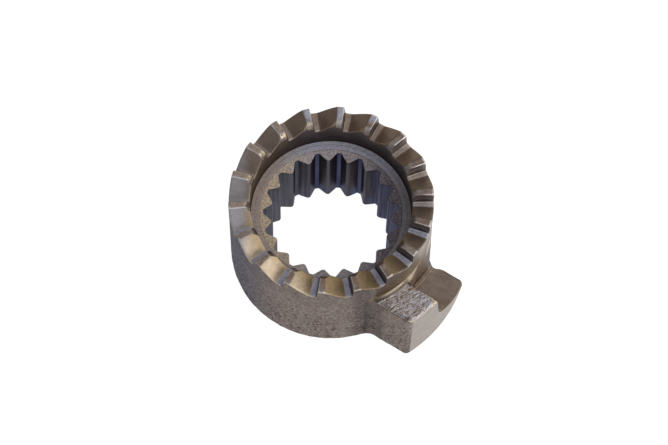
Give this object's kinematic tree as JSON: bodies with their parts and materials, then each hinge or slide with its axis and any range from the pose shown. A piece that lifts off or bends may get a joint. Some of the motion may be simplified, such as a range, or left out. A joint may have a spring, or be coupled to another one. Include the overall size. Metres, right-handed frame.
{
  "type": "kickstarter ratchet gear",
  "caption": "Steel kickstarter ratchet ring with sawtooth face teeth, an internal spline for the kick shaft, and a side arm with a stop face and a cam ramp.",
  "frame": {"origin": "on the axis of the spline, in the flat bottom face", "axes": "+Z along the shaft towards the ratchet teeth; the arm points along +X and -Y, 31 degrees below +X"},
  "size_m": [0.042, 0.0383, 0.0212],
  "materials": {
    "steel": "as-forged skin outside, turned rim and recess, milled ramp, all lightly oiled"
  },
  "bodies": {
    "root": {"ratchet_gear": "steel"}
  },
  "joints": []
}
